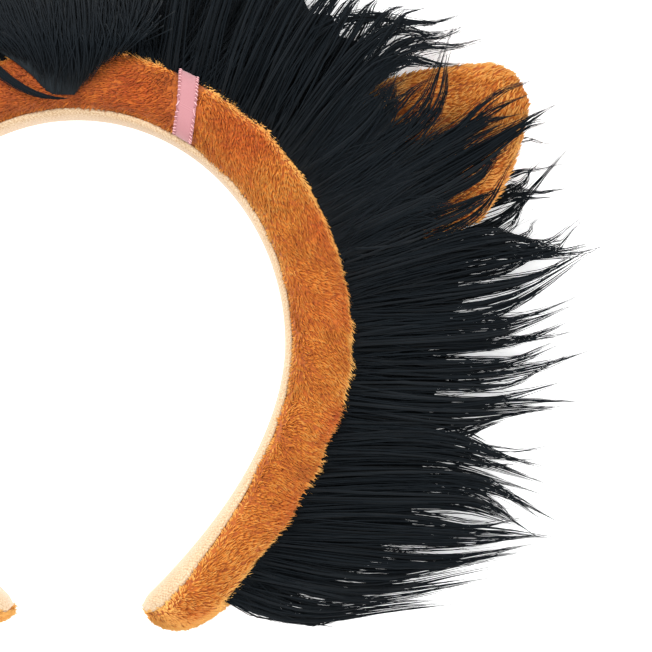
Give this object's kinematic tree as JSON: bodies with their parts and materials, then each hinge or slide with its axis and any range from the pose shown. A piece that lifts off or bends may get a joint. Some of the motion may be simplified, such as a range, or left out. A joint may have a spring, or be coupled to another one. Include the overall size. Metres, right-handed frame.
{
  "type": "costume headband",
  "caption": "Padded plush headband with animal ears, a knit lining, a sewn ribbon strip, a forelock and a long faux-fur mane round its outer edge, lying flat on its back.",
  "frame": {"origin": "on the flat back of the padded band, at the middle of its crown", "axes": "+X across the head to the viewer's right, +Y from the head up past the crown, +Z from the flat back to the front of the band"},
  "size_m": [0.3392, 0.2497, 0.0411],
  "materials": {
    "plush_orange": "short-pile rust-orange plush",
    "lining_cream": "matte cream knit",
    "pink_ribbon": "soft satin-stitched pink ribbon",
    "fur_black": "long glossy black faux fur"
  },
  "bodies": {
    "root": {"padded_band": "plush_orange", "inner_lining": "lining_cream", "pink_strip": "pink_ribbon", "mane_front": "fur_black", "mane_back": "fur_black", "forelock": "fur_black", "ear_right": "plush_orange", "ear_left": "plush_orange"}
  },
  "joints": []
}
